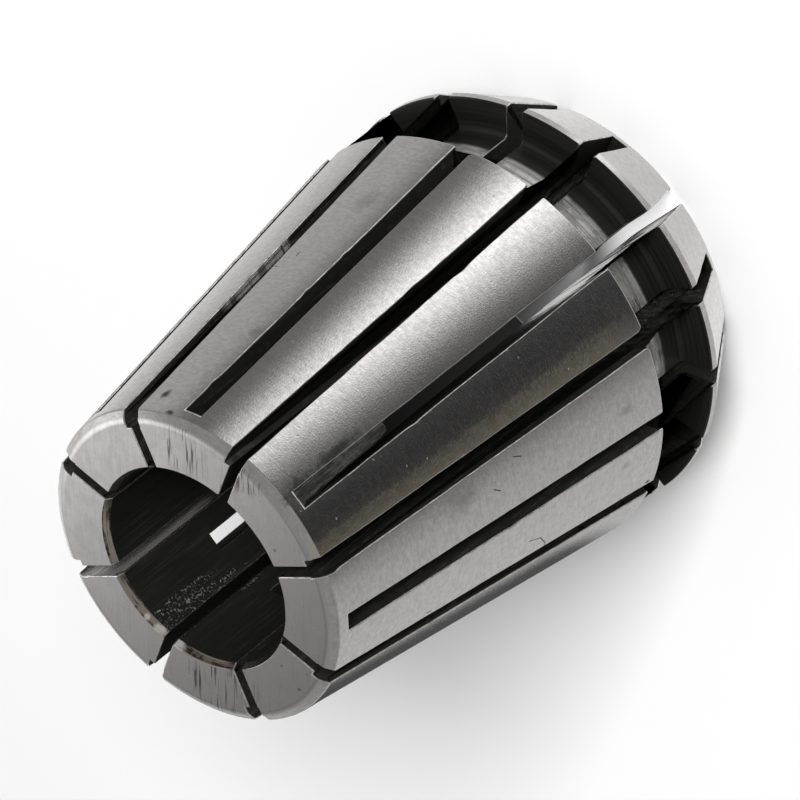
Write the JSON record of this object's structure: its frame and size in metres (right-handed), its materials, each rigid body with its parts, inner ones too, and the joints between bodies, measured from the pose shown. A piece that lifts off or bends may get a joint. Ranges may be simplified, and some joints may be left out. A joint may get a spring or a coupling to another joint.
{
  "type": "er collet",
  "caption": "Slotted spring collet with a long 8 degree body cone, a nut groove, a short 30 degree nose cone and a through bore for a round shank.",
  "frame": {"origin": "centre of the nose face, which is the large end and rests on the floor", "axes": "+Z along the bore axis from the nose to the small tail end, +X through the middle of one nose slot"},
  "size_m": [0.026, 0.026, 0.034],
  "materials": {
    "collet_steel": "ground cones and ends, black oxide left in the slots, groove and bore"
  },
  "bodies": {
    "root": {"collet_body": "collet_steel"}
  },
  "joints": []
}
